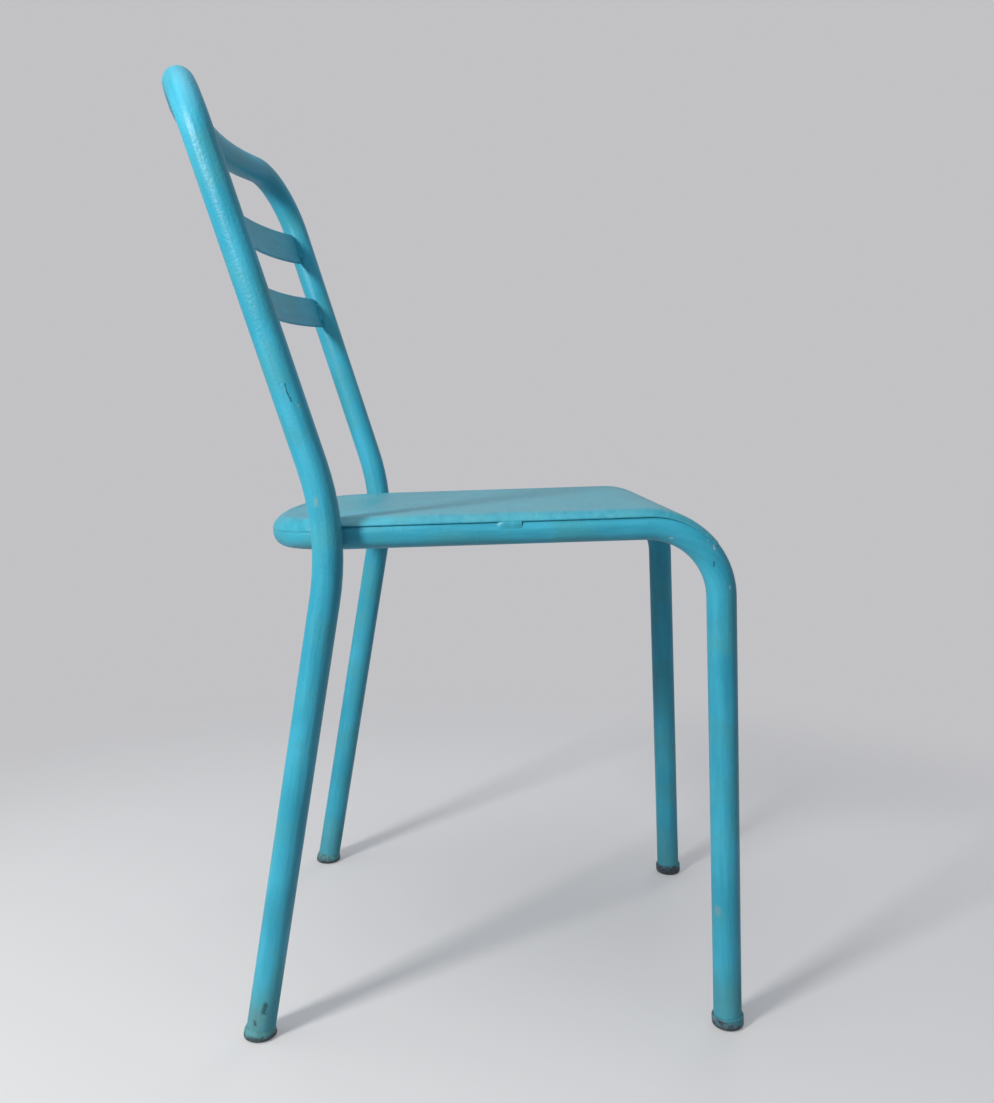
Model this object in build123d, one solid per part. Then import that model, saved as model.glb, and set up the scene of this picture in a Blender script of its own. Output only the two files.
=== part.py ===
"""Stacking garden chair in painted steel tube.

Two bent tubes carry everything. One makes the rear legs, the uprights and the top rail, the other
makes the front legs, the side rails and the rear rail of the seat. A pressed sheet covers the seat
tube, two bowed flat bars cross the back, and a glide is plugged into the end of each leg.

Millimetres and degrees. +Z is up, the sitter faces -Y and the sitter's right hand is at -X. The
origin is on the floor, in the middle of the chair's box.
"""
from build123d import *
import math
import os

# Tube stock, the same for both frames.
TUBE_D = 25.0
TUBE_WALL = 1.5

# Back frame: rear legs, uprights and top rail. Lengths run along the tube's axis, corner to corner.
BACK_WIDTH = 413.0
KNEE_HEIGHT = 443.0
REAR_LEG_RAKE = 9.5
BACK_RAKE = 18.0
BACK_LENGTH = 368.0
KNEE_BEND_R = 230.0
TOP_CORNER_R = 62.0
TOP_RAIL_SETBACK = 42.0
TOP_RAIL_STRAIGHT = 5.0

# Seat frame: front legs, side rails and rear rail. The rails' rear corners are an overhang behind the
# uprights, and the rear rail leaves them at an angle, because it is bowed backwards.
FOOT_SPACING = 417.0
FRONT_LEG_RAKE = 3.7
FRONT_CORNER_HEIGHT = 452.3
SEAT_SLOPE = 2.4
SEAT_OVERHANG = 38.0
FRONT_BEND_R = 63.0
REAR_CORNER_R = 58.0
REAR_RAIL_ANGLE = 8.5
REAR_RAIL_STRAIGHT = 5.0
FIT_UP_GAP = 0.4

# Seat pan: sheet on the seat frame, with a lip turned down over the outside of the tube. The lip
# narrows on the front bend.
SHEET_T = 1.5
SHEET_GAP = 0.15
LIP_ANGLE = 60.0
LIP_FRONT_ANGLE = 46.0
PAN_FRONT_ANGLE = 52.0

# Back slats: flat bars, bent to about the bow of the top rail, on the straight of the uprights.
SLAT_WIDTH = 32.0
SLAT_T = 3.0
SLAT_BOW = 26.0
SLAT_CORNER_R = 6.0
SLAT_END_GAP = 0.1
SLAT_BELOW_BEND = 1.0
SLAT_PITCH = 70.0

# Glides: plugs with a flange, worn flat by the floor.
GLIDE_D = 28.5
GLIDE_FLANGE = 11.5
GLIDE_SHANK = 18.0
GLIDE_SHANK_GAP = 0.15
GLIDE_TIP_TAPER = 1.5
GLIDE_TOP_R = 1.4
GLIDE_FLOOR_R = 3.5

# Weld beads: a slat's bead is as heavy as the bar is thick.
SLAT_BEAD_R = 0.85 * SLAT_T
FRAME_BEAD_R = 3.4
FRAME_BEAD_LENGTH = 15.0
FRAME_BEAD_RISE = 8.0
PAN_BEAD_R = 3.0
PAN_BEAD_LENGTH = 19.0
PAN_BEAD_FROM_FRONT = 174.0

# Radii that follow from the stock.
TUBE_R = TUBE_D / 2
BORE_R = TUBE_R - TUBE_WALL
LIP_INNER_R = TUBE_R + SHEET_GAP
LIP_OUTER_R = LIP_INNER_R + SHEET_T
GLIDE_R = GLIDE_D / 2

# Heights of the lip's edge above the seat tube's axis.
LIP_EDGE = LIP_OUTER_R * math.cos(math.radians(LIP_ANGLE))
LIP_EDGE_AT_FRONT = LIP_OUTER_R * math.cos(math.radians(LIP_FRONT_ANGLE))

SIDES = {"right": -1, "left": 1}
ACROSS = Vector(1, 0, 0)


def lean(angle):
    """Unit vector in the side view, tilted from straight up towards the rear."""
    return Vector(0, math.sin(math.radians(angle)), math.cos(math.radians(angle)))


def on_side(point, side):
    """A point of the left half, moved to the given side of the chair."""
    return Vector(point.X * side, point.Y, point.Z)


# Half spacing of the uprights, from the middle plane to the axis.
UPRIGHT_X = (BACK_WIDTH - TUBE_D) / 2

# Directions in the side view.
UP_REAR_LEG = lean(-REAR_LEG_RAKE)
UP_BACK = lean(BACK_RAKE)
BEHIND_BACK = lean(BACK_RAKE + 90)
UP_FRONT_LEG = lean(FRONT_LEG_RAKE)
ALONG_SEAT = lean(SEAT_SLOPE + 90)
UP_SEAT = lean(SEAT_SLOPE)

# The top rail is one long bow between its two corner bends.
RAIL_ANGLE = math.atan2(TOP_RAIL_SETBACK, UPRIGHT_X)
TOP_BOW_RUN = math.hypot(UPRIGHT_X, TOP_RAIL_SETBACK) - TOP_CORNER_R - TOP_RAIL_STRAIGHT
TOP_BOW_R = TOP_BOW_RUN / math.tan(RAIL_ANGLE)
TOP_BOW_DEPTH = TOP_RAIL_SETBACK - TOP_BOW_R * (1 / math.cos(RAIL_ANGLE) - 1)

# The depth runs from the front glides to the middle of the top rail, and the origin halves it.
REAR_FOOT_TO_TOP = BACK_LENGTH * UP_BACK.Y - KNEE_HEIGHT * math.tan(math.radians(REAR_LEG_RAKE))
REAR_REACH = REAR_FOOT_TO_TOP + TOP_BOW_DEPTH * BEHIND_BACK.Y + TUBE_R
REAR_FOOT_Y = (FOOT_SPACING + GLIDE_R - REAR_REACH) / 2
FRONT_FOOT_Y = REAR_FOOT_Y - FOOT_SPACING

# Corner points of the tubes' axes: the back tube's on the left side, the seat tube's in the side view.
REAR_FOOT = Vector(UPRIGHT_X, REAR_FOOT_Y, 0)
KNEE = REAR_FOOT + UP_REAR_LEG * (KNEE_HEIGHT / UP_REAR_LEG.Z)
TOP_CORNER = KNEE + UP_BACK * BACK_LENGTH
TOP_MIDDLE = on_side(TOP_CORNER, 0) + BEHIND_BACK * TOP_RAIL_SETBACK
FRONT_FOOT = Vector(0, FRONT_FOOT_Y, 0)
FRONT_CORNER = FRONT_FOOT + UP_FRONT_LEG * (FRONT_CORNER_HEIGHT / UP_FRONT_LEG.Z)

# Slats by their distance from the knee. The upper one ends just below the bend of the top corner,
# which starts one bend radius below the rail, because the rail leaves the upright at a right angle.
UPPER_SLAT_AT = BACK_LENGTH - TOP_CORNER_R - SLAT_BELOW_BEND - SLAT_WIDTH / 2
SLAT_PLACES = {"upper_slat": UPPER_SLAT_AT, "lower_slat": UPPER_SLAT_AT - SLAT_PITCH}

# Side view of the seat, drawn from the front corner: x runs backwards and y runs up.
SEAT_SIDE = Plane(origin=FRONT_CORNER, x_dir=ALONG_SEAT, z_dir=ACROSS)
SEAT_PLAN = Plane(origin=FRONT_CORNER, x_dir=ACROSS, z_dir=UP_SEAT)
FRONT_BEND_TURN = 90 + SEAT_SLOPE - FRONT_LEG_RAKE
FRONT_BEND_RUN = FRONT_BEND_R * math.tan(math.radians(FRONT_BEND_TURN / 2))
CUTTER_REACH = FRONT_BEND_R + TUBE_D


def bent_axis(half, middle, half_radii, middle_radii):
    """Axis of a tube that is bent alike on both sides, from one foot to the other."""
    mirrored = [on_side(point, -1) for point in reversed(half)]
    radii = half_radii + middle_radii + half_radii[::-1]
    return FilletPolyline(*half, *middle, *mirrored, radius=radii)


def round_bar(axis, radius):
    """Full round bar along an axis."""
    return sweep(Plane(origin=axis @ 0, z_dir=axis % 0) * Circle(radius), path=axis)


def round_tube(axis, outer, inner):
    """Hollow round tube along an axis."""
    section = Circle(outer) - Circle(inner)
    return sweep(Plane(origin=axis @ 0, z_dir=axis % 0) * section, path=axis)


def straight_bar(centre, direction, length, radius):
    """Straight round bar about a point."""
    return Plane(origin=centre, z_dir=direction) * Cylinder(radius, length)


def bead(centre, direction, length, radius):
    """Weld bead with round ends."""
    ends = [Pos(0, 0, end * (length / 2 - radius)) * Sphere(radius) for end in (-1, 1)]
    return Plane(origin=centre, z_dir=direction) * (Cylinder(radius, length - 2 * radius) + ends)


BACK_AXIS = bent_axis(
    [REAR_FOOT + UP_REAR_LEG * GLIDE_FLANGE, KNEE, TOP_CORNER],
    [TOP_MIDDLE],
    [KNEE_BEND_R, TOP_CORNER_R],
    [TOP_BOW_R],
)


def upright_at_seat():
    """Point of the left upright's axis that lies in the plane of the seat tube's axis."""
    low, high = 0.0, 0.5
    while high - low > 1e-6:
        middle = (low + high) / 2
        above = (BACK_AXIS @ middle - FRONT_CORNER).dot(UP_SEAT)
        low, high = (low, middle) if above > 0 else (middle, high)
    return BACK_AXIS @ low


# The seat tube touches the uprights. Where it does so on the bend of its rear corner, the bend's
# centre, the seat tube and the upright lie on one line, and the side rails stand that much further out.
CROSSING = upright_at_seat()
SEAT_LENGTH = (CROSSING - FRONT_CORNER).dot(ALONG_SEAT) + SEAT_OVERHANG
REAR_CORNER = FRONT_CORNER + ALONG_SEAT * SEAT_LENGTH
REAR_CORNER_RUN = REAR_CORNER_R * math.tan(math.radians(90 - REAR_RAIL_ANGLE) / 2)
PAST_BEND = max(0, REAR_CORNER_RUN - SEAT_OVERHANG)
TOUCH_REACH = REAR_CORNER_R + TUBE_D + FIT_UP_GAP
TOUCH_ANGLE = math.asin(PAST_BEND / TOUCH_REACH)
RAIL_X = UPRIGHT_X + REAR_CORNER_R - TOUCH_REACH * math.cos(TOUCH_ANGLE)

# The rear rail is one long bow between its two corner bends.
REAR_RAIL_SETBACK = RAIL_X * math.tan(math.radians(REAR_RAIL_ANGLE))
REAR_BOW_RUN = math.hypot(RAIL_X, REAR_RAIL_SETBACK) - REAR_CORNER_RUN - REAR_RAIL_STRAIGHT
REAR_BOW_R = REAR_BOW_RUN / math.tan(math.radians(REAR_RAIL_ANGLE))

SIDE_RAIL = ACROSS * RAIL_X
SEAT_AXIS = bent_axis(
    [
        SIDE_RAIL + FRONT_FOOT + UP_FRONT_LEG * GLIDE_FLANGE,
        SIDE_RAIL + FRONT_CORNER,
        SIDE_RAIL + REAR_CORNER,
    ],
    [REAR_CORNER + ALONG_SEAT * REAR_RAIL_SETBACK],
    [FRONT_BEND_R, REAR_CORNER_R],
    [REAR_BOW_R],
)


def seat_band(low, low_at_front, high):
    """Layer over the seat tube, between two heights above its axis, down to the pan's front edge."""
    rear = SEAT_LENGTH + CUTTER_REACH

    def on_bend(height, angle):
        """Point over the front bend, at an angle from where the bend starts."""
        radius = FRONT_BEND_R + height
        turn = math.radians(angle)
        return FRONT_BEND_RUN - radius * math.sin(turn), radius * math.cos(turn) - FRONT_BEND_R

    def front_arc(start, end):
        """Arc over the front bend, from a height where the flat ends to a height at the front edge."""
        rise = end - start
        return ThreePointArc(*[on_bend(start + rise * part, PAN_FRONT_ANGLE * part) for part in (0, 0.5, 1)])

    upper, lower = front_arc(high, high), front_arc(low, low_at_front)
    outline = Curve() + [
        upper,
        lower,
        Line(upper @ 1, lower @ 1),
        Line(upper @ 0, (rear, high)),
        Line(lower @ 0, (rear, low)),
        Line((rear, low), (rear, high)),
    ]
    return extrude(SEAT_SIDE * make_face(outline), UPRIGHT_X, both=True)


def make_seat_pan():
    """Flat sheet with a waterfall front, and a lip round the outside of the side and rear rails."""
    corners = [(-RAIL_X, -CUTTER_REACH), (-RAIL_X, SEAT_LENGTH), (0, SEAT_LENGTH + REAR_RAIL_SETBACK)]
    corners += [(-x, y) for x, y in reversed(corners[:2])]
    rim = FilletPolyline(*corners, radius=[REAR_CORNER_R, REAR_BOW_R, REAR_CORNER_R])
    plan = make_face(Curve() + [rim, Line(rim @ 0, rim @ 1)])
    inside = extrude(SEAT_PLAN * plan, CUTTER_REACH, both=True)
    sleeve = round_tube(SEAT_AXIS, LIP_OUTER_R, LIP_INNER_R)
    lip = (sleeve & seat_band(LIP_EDGE, LIP_EDGE_AT_FRONT, 2 * LIP_OUTER_R)) - inside
    sheet = seat_band(LIP_INNER_R, LIP_INNER_R, LIP_OUTER_R) & inside
    return sheet + lip


SLAT_BEND_R = (UPRIGHT_X**2 + SLAT_BOW**2) / (2 * SLAT_BOW)


def slat_plane(place):
    """Plane across the back at a place on the uprights: x runs across and y runs backwards."""
    return Plane(origin=on_side(KNEE, 0) + UP_BACK * place, x_dir=ACROSS, z_dir=UP_BACK)


def slat_depth(x, offset):
    """How far a slat's face lies behind the uprights' axes, at a distance from the middle."""
    return math.sqrt((SLAT_BEND_R + offset) ** 2 - x**2) - SLAT_BEND_R + SLAT_BOW


def upright_bars(place, radius):
    """Short bars in the place of the two uprights, to cope what meets them."""
    axes = [on_side(KNEE, side) + UP_BACK * place for side in SIDES.values()]
    return [straight_bar(centre, UP_BACK, 2 * SLAT_WIDTH, radius) for centre in axes]


def make_slat(place):
    """Bowed flat bar, coped to the inner sides of the uprights."""
    end_x = UPRIGHT_X - TUBE_R / 2
    faces = []
    for offset in (-SLAT_T / 2, SLAT_T / 2):
        points = [(x, slat_depth(x, offset)) for x in (-end_x, 0, end_x)]
        faces.append(ThreePointArc(*points))
    inner, outer = faces
    outline = Curve() + [inner, outer, Line(inner @ 0, outer @ 0), Line(inner @ 1, outer @ 1)]
    bar = extrude(slat_plane(place) * make_face(outline), SLAT_WIDTH / 2, both=True)
    bar = bar - upright_bars(place, TUBE_R + SLAT_END_GAP)
    return fillet(bar.edges().filter_by(lambda edge: edge.length < 2 * SLAT_T), SLAT_CORNER_R)


def make_slat_beads(place, bar):
    """Beads along both faces of a slat, at both ends."""
    length = SLAT_WIDTH - 2 * SLAT_CORNER_R
    x = UPRIGHT_X - TUBE_R
    uprights = upright_bars(place, TUBE_R)
    beads = []
    for side in SIDES.values():
        for offset in (-SLAT_T / 2, SLAT_T / 2):
            centre = slat_plane(place).from_local_coords(Vector(side * x, slat_depth(x, offset), 0))
            beads.append(bead(centre, UP_BACK, length, SLAT_BEAD_R) - bar - uprights)
    return beads


def make_glide(foot, up):
    """Plug and flange, turned about the leg's axis and cut flat on the floor."""
    shank_r = BORE_R - GLIDE_SHANK_GAP
    tip = GLIDE_FLANGE + GLIDE_SHANK
    profile = Polyline(
        (0, -GLIDE_R),
        (GLIDE_R, -GLIDE_R),
        (GLIDE_R, GLIDE_FLANGE),
        (shank_r, GLIDE_FLANGE),
        (shank_r, tip - GLIDE_TIP_TAPER),
        (shank_r - GLIDE_TIP_TAPER, tip),
        (0, tip),
        close=True,
    )
    turned = revolve(Plane.XZ * make_face(profile), Axis.Z)
    rim = turned.edges().filter_by(lambda edge: abs(edge.center().Z - GLIDE_FLANGE) < GLIDE_TOP_R)
    turned = fillet(rim.sort_by(SortBy.LENGTH)[-1], GLIDE_TOP_R)
    glide = Plane(origin=foot, x_dir=ACROSS, z_dir=up) * turned
    floor = Pos(foot.X, foot.Y, -GLIDE_D) * Box(4 * GLIDE_D, 4 * GLIDE_D, 2 * GLIDE_D)
    glide = glide - floor
    return fillet(glide.faces().sort_by(Axis.Z)[0].edges(), GLIDE_FLOOR_R)


def make_frame_beads():
    """Beads in the notches above and below each crossing of upright and seat tube."""
    uprights = round_bar(BACK_AXIS, TUBE_R)
    rise_over_lip = math.sqrt(LIP_OUTER_R**2 - TUBE_R**2 + FRAME_BEAD_RISE**2)
    notch = (math.sqrt(TUBE_R**2 - FRAME_BEAD_RISE**2) + TUBE_R + FIT_UP_GAP) / 2
    to_upright = ACROSS * math.cos(TOUCH_ANGLE) + ALONG_SEAT * math.sin(TOUCH_ANGLE)
    along_bead = ALONG_SEAT * math.cos(TOUCH_ANGLE) - ACROSS * math.sin(TOUCH_ANGLE)
    touching = CROSSING - to_upright * (TUBE_D + FIT_UP_GAP) + to_upright * notch
    beads = []
    for rise, rail_r in ((rise_over_lip, LIP_OUTER_R), (-FRAME_BEAD_RISE, TUBE_R)):
        seat_bar = round_bar(SEAT_AXIS, rail_r)
        for side in SIDES.values():
            centre = on_side(touching + UP_SEAT * rise, side)
            whole = bead(centre, on_side(along_bead, side), FRAME_BEAD_LENGTH, FRAME_BEAD_R)
            beads.append(whole - seat_bar - uprights)
    return beads


def make_pan_beads():
    """Bead under the lip's edge, halfway along each side rail."""
    out = (TUBE_R + SHEET_T / 2) * math.sin(math.radians(LIP_ANGLE))
    beads = []
    for side in SIDES.values():
        rail = on_side(SIDE_RAIL, side) + FRONT_CORNER + ALONG_SEAT * PAN_BEAD_FROM_FRONT
        tube_bar = straight_bar(rail, ALONG_SEAT, 2 * PAN_BEAD_LENGTH, TUBE_R)
        lip_bar = straight_bar(rail, ALONG_SEAT, 2 * PAN_BEAD_LENGTH, LIP_OUTER_R)
        lip_bar = lip_bar & seat_band(LIP_EDGE, LIP_EDGE_AT_FRONT, 2 * LIP_OUTER_R)
        centre = rail + ACROSS * (side * out) + UP_SEAT * LIP_EDGE
        beads.append(bead(centre, ALONG_SEAT, PAN_BEAD_LENGTH, PAN_BEAD_R) - tube_bar - lip_bar)
    return beads


def make_chair():
    """Every piece of the chair by its node's name."""
    nodes = {
        "back_frame": round_tube(BACK_AXIS, TUBE_R, BORE_R),
        "seat_frame": round_tube(SEAT_AXIS, TUBE_R, BORE_R),
        "seat_pan": make_seat_pan(),
    }
    slat_beads = []
    for name, place in SLAT_PLACES.items():
        nodes[name] = make_slat(place)
        slat_beads += make_slat_beads(place, nodes[name])
    for hand, side in SIDES.items():
        nodes["foot_front_" + hand] = make_glide(on_side(SIDE_RAIL, side) + FRONT_FOOT, UP_FRONT_LEG)
        nodes["foot_rear_" + hand] = make_glide(on_side(REAR_FOOT, side), UP_REAR_LEG)
    groups = {
        "frame_welds": make_frame_beads(),
        "slat_welds": slat_beads,
        "pan_welds": make_pan_beads(),
    }
    for name, beads in groups.items():
        nodes[name] = Compound([solid for part in beads for solid in part.solids()])
    return nodes


os.makedirs("parts", exist_ok=True)
for node, shape in make_chair().items():
    export_step(shape, "parts/" + node + ".step")
    print(node, "solids", len(shape.solids()), "volume", round(shape.volume, 1))
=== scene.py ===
# %% [markdown]
# # A garden chair in painted steel tube
#
# Two bent tubes carry the chair. One makes the rear legs, the uprights and the top rail, the other
# makes the front legs and the rim of the seat. A pressed sheet covers the seat, two flat bars cross
# the back, and a glide closes the end of each leg. Everything is welded and then painted turquoise.
#
# The measured model is loaded first. It could be painted as it is, but a model made for measuring has
# no soft edges, no ripples in its welds and no wear, so each piece is drawn again over its own node.

import bmesh
import bpy
import numpy as np
from mathutils import Matrix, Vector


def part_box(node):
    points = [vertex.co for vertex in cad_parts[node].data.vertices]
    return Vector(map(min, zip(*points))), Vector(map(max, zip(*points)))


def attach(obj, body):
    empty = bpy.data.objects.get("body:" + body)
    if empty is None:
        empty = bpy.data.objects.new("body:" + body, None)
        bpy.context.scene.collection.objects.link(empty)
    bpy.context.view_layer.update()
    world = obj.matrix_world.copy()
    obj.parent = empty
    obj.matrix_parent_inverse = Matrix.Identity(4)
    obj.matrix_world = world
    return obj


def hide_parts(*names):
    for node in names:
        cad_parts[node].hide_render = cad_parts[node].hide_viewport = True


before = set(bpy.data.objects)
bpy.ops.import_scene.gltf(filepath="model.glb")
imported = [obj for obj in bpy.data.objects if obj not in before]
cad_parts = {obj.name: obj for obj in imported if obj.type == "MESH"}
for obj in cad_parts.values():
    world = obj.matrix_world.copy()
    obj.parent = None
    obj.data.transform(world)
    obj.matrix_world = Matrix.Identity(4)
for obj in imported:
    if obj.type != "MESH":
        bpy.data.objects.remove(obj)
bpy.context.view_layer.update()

# %% [markdown]
# ## From arrays to meshes
#
# Every surface here is a grid: a place in space for each pair of numbers, such as along and around.
# The grid could be modelled by hand, but then its proportions would sit in hundreds of points. Worked
# out as one array, it keeps the rule that made it, and a change of one size moves every point.


# %% Faces of a grid
def grid_faces(rows, columns, close_rows, close_columns):
    """Quads of a grid, as indices: each joins a point to its neighbours to the right and above."""
    row = np.arange(rows if close_rows else rows - 1)[:, None]
    column = np.arange(columns if close_columns else columns - 1)[None, :]
    above = (row + 1) % rows
    right = (column + 1) % columns
    lower = row * columns
    upper = above * columns
    corners = [lower + column, lower + right, upper + right, upper + column]
    return np.stack(np.broadcast_arrays(*corners), -1).reshape(-1, 4)


# %% A mesh from grids
MM = 0.001
MERGE_DISTANCE = 0.002 * MM


def mesh_from_grids(name, grids, unbent):
    """One closed mesh from grids of (points, close_rows, close_columns).

    Points that meet, at poles and along seams, are merged. The attribute 'unbent' keeps where each
    point was before the metal was bent, so that a pattern can follow the bends.
    """
    faces = []
    count = 0
    for grid, close_rows, close_columns in grids:
        rows, columns = grid.shape[:2]
        faces.append(grid_faces(rows, columns, close_rows, close_columns) + count)
        count += rows * columns
    points = np.concatenate([grid.reshape(-1, 3) for grid, _, _ in grids])
    mesh = bpy.data.meshes.new(name)
    mesh.from_pydata(points.tolist(), [], np.concatenate(faces).tolist())
    flat = points if unbent is None else unbent.reshape(-1, 3)
    layer = mesh.attributes.new("unbent", "FLOAT_VECTOR", "POINT")
    layer.data.foreach_set("vector", flat.astype(np.float32).ravel())
    work = bmesh.new()
    work.from_mesh(mesh)
    bmesh.ops.remove_doubles(work, verts=work.verts, dist=MERGE_DISTANCE)
    open_edges = sum(not edge.is_manifold for edge in work.edges)
    volume = work.calc_volume(signed=True)
    work.to_mesh(mesh)
    work.free()
    mesh.shade_smooth()
    print(name, len(mesh.polygons), "faces", open_edges, "open edges", round(volume * 1e6, 2), "cm3")
    return mesh


# %% A piece of the chair
pieces = []


def put_in_scene(name, data):
    """New object at the origin of the scene."""
    made = bpy.data.objects.new(name, data)
    bpy.context.scene.collection.objects.link(made)
    return made


def make_piece(name, grids, node, unbent=None):
    """Piece in place of its node: prints by how many mm its lowest and highest corner differ."""
    mesh = mesh_from_grids(name, grids, unbent)
    piece = put_in_scene(name, mesh)
    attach(piece, "root")
    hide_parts(node)
    pieces.append(piece)
    points = np.zeros(len(mesh.vertices) * 3)
    mesh.vertices.foreach_get("co", points)
    points = points.reshape(-1, 3)
    apart = np.array([points.min(0), points.max(0)]) - np.array(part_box(node))
    print("  box of", node, "differs by", *np.round(apart / MM, 2), "mm")
    return piece


# %% [markdown]
# ## Bent tube
#
# The tubes were bent cold from straight stock, round a former for each bend. So the axis is straight
# runs joined by arcs of a circle, and never a free spline, which would swell and sag between its points.
# The wall is carried along that axis as a ring. It goes out along the skin and comes back through the
# bore, so that one closed grid gives a real hollow tube.


# %% The axis of a bent tube
def lean(angle):
    """Unit vector in the side view, tilted from straight up towards the rear, by degrees."""
    turn = np.radians(angle)
    return np.array([0.0, np.sin(turn), np.cos(turn)])


def unit(vectors):
    """Vectors of length one."""
    return vectors / np.linalg.norm(vectors, axis=-1, keepdims=True)


def straight_run(start, end, step):
    """Points from a start to an end, both included, spaced evenly by a step at most."""
    count = max(2, int(np.ceil(np.linalg.norm(end - start) / step)))
    return start + (end - start) * np.linspace(0, 1, count + 1)[:, None]


def bent_path(corners, radii, run_step, arc_step):
    """Points and directions along straight runs that are joined by arcs.

    At a corner the axis leaves the run r * tan(turn / 2) early and follows the arc
    start + r * (sin(t) * into + (1 - cos(t)) * towards), where 'towards' is square to the run 'into'.
    """
    points = []
    directions = []
    start = corners[0]
    into = unit(corners[1] - corners[0])
    for corner, after, radius in zip(corners[1:-1], corners[2:], radii):
        out = unit(after - corner)
        turn = np.arccos(into @ out)
        towards = unit(out - into * (into @ out))
        end = corner - into * radius * np.tan(turn / 2)
        run = straight_run(start, end, run_step)[:-1]
        t = np.linspace(0, turn, int(np.ceil(turn / arc_step)) + 1)[:-1, None]
        points += [run, end + radius * (np.sin(t) * into + (1 - np.cos(t)) * towards)]
        directions += [np.broadcast_to(into, run.shape), np.cos(t) * into + np.sin(t) * towards]
        start = corner + out * radius * np.tan(turn / 2)
        into = out
    run = straight_run(start, corners[-1], run_step)
    points.append(run)
    directions.append(np.broadcast_to(into, run.shape))
    return np.concatenate(points), np.concatenate(directions)


MIRROR = np.array([-1.0, 1.0, 1.0])


def mirrored(half, middle):
    """Corner points that are alike on both sides: one half, the middle, and the half mirrored back."""
    return np.array(half + middle + [point * MIRROR for point in reversed(half)])


# %% A ring carried along the axis
END_RING = 0.3 * MM


def carry(path, direction, reference, ring):
    """Profile carried along a path: path + u * side + v * over.

    side is the unit of reference x direction and over is direction x side, so the ring stays square
    to the path. ring holds (u, v), one ring for all stations or one for each.
    """
    side = unit(np.cross(reference, direction))
    over = np.cross(direction, side)
    return path[:, None] + ring[..., :1] * side[:, None] + ring[..., 1:] * over[:, None]


def circle(radius, count):
    """Ring of points (u, v), anticlockwise."""
    angle = np.linspace(0, 2 * np.pi, count, endpoint=False)
    return radius * np.stack([np.cos(angle), np.sin(angle)], -1)


def hollow_tube(path, direction, reference, outer, inner, count):
    """Tube wall as one closed grid: out along the skin and back through the bore.

    A ring close to each end keeps the smooth shading of the cut end off the skin. Also gives the same
    grid unbent: the ring's (u, v) and the length along the axis.
    """
    near_ends = [path[0] + END_RING * direction[0], path[-1] - END_RING * direction[-1]]
    path = np.insert(path, [1, len(path) - 1], near_ends, axis=0)
    direction = np.insert(direction, [1, len(direction) - 1], direction[[0, -1]], axis=0)
    along = np.concatenate([[0], np.cumsum(np.linalg.norm(np.diff(path, axis=0), axis=1))])
    skins = []
    straights = []
    for radius, step in ((outer, 1), (inner, -1)):
        ring = circle(radius, count)
        skins.append(carry(path, direction, reference, ring[None])[::step])
        flat = np.broadcast_to(ring[None], (len(path), count, 2))
        height = np.broadcast_to(along[:, None, None], (len(path), count, 1))
        straights.append(np.concatenate([flat, height], -1)[::step])
    return np.concatenate(skins), np.concatenate(straights)


# %% [markdown]
# ### Back tube
#
# The back tube rises from a rear glide, leans forward to the seat, turns back at a wide knee and goes
# up to a tight corner. Between the two corners the top rail is one long bow, so that it fits a back.
# The bow could be drawn by eye. Here its radius follows from how far back the rail's middle lies.

# %% Corners of the back tube
TUBE_R = 12.5 * MM
GLIDE_R = 14.25 * MM
UPRIGHT_X = 194.0 * MM
KNEE_HEIGHT = 443.0 * MM
BACK_LENGTH = 368.0 * MM
FOOT_SPACING = 417.0 * MM
TOP_CORNER_R = 62.0 * MM
TOP_SETBACK = 42.0 * MM
TOP_STRAIGHT = 5.0 * MM
REAR_LEG_RAKE = 9.5
BACK_RAKE = 18.0
UP_REAR_LEG = lean(-REAR_LEG_RAKE)
UP_BACK = lean(BACK_RAKE)
BEHIND_BACK = lean(BACK_RAKE + 90)
ACROSS = np.array([1.0, 0.0, 0.0])

rail_angle = np.arctan2(TOP_SETBACK, UPRIGHT_X)
TOP_BOW_R = (np.hypot(UPRIGHT_X, TOP_SETBACK) - TOP_CORNER_R - TOP_STRAIGHT) / np.tan(rail_angle)
top_bow_depth = TOP_SETBACK - TOP_BOW_R * (1 / np.cos(rail_angle) - 1)
foot_to_top = BACK_LENGTH * UP_BACK[1] - KNEE_HEIGHT * np.tan(np.radians(REAR_LEG_RAKE))
rear_reach = foot_to_top + top_bow_depth * BEHIND_BACK[1] + TUBE_R
REAR_FOOT_Y = (FOOT_SPACING + GLIDE_R - rear_reach) / 2

REAR_FOOT = np.array([UPRIGHT_X, REAR_FOOT_Y, 0.0])
KNEE = REAR_FOOT + UP_REAR_LEG * KNEE_HEIGHT / UP_REAR_LEG[2]
TOP_CORNER = KNEE + UP_BACK * BACK_LENGTH
TOP_MIDDLE = TOP_CORNER - ACROSS * UPRIGHT_X + BEHIND_BACK * TOP_SETBACK
print("radius of the top bow", round(TOP_BOW_R, 3), "m")

# %% Back tube
BORE_R = 11.0 * MM
GLIDE_FLANGE = 11.5 * MM
KNEE_BEND_R = 230.0 * MM
RUN_STEP = 12 * MM
ARC_STEP = np.radians(3)
ROUND = 44


def tube_piece(name, node, half, middle, radii, reference):
    """Piece of a tube that is bent alike on both sides, from one half and its middle: gives its path."""
    path, direction = bent_path(mirrored(half, [middle]), radii + radii[-2::-1], RUN_STEP, ARC_STEP)
    skin, straight = hollow_tube(path, direction, reference, TUBE_R, BORE_R, ROUND)
    make_piece(name, [(skin, True, True)], node, straight)
    return path


back_half = [REAR_FOOT + UP_REAR_LEG * GLIDE_FLANGE, KNEE, TOP_CORNER]
back_radii = [KNEE_BEND_R, TOP_CORNER_R, TOP_BOW_R]
back_path = tube_piece("back_tube", "back_frame", back_half, TOP_MIDDLE, back_radii, BEHIND_BACK)

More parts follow.
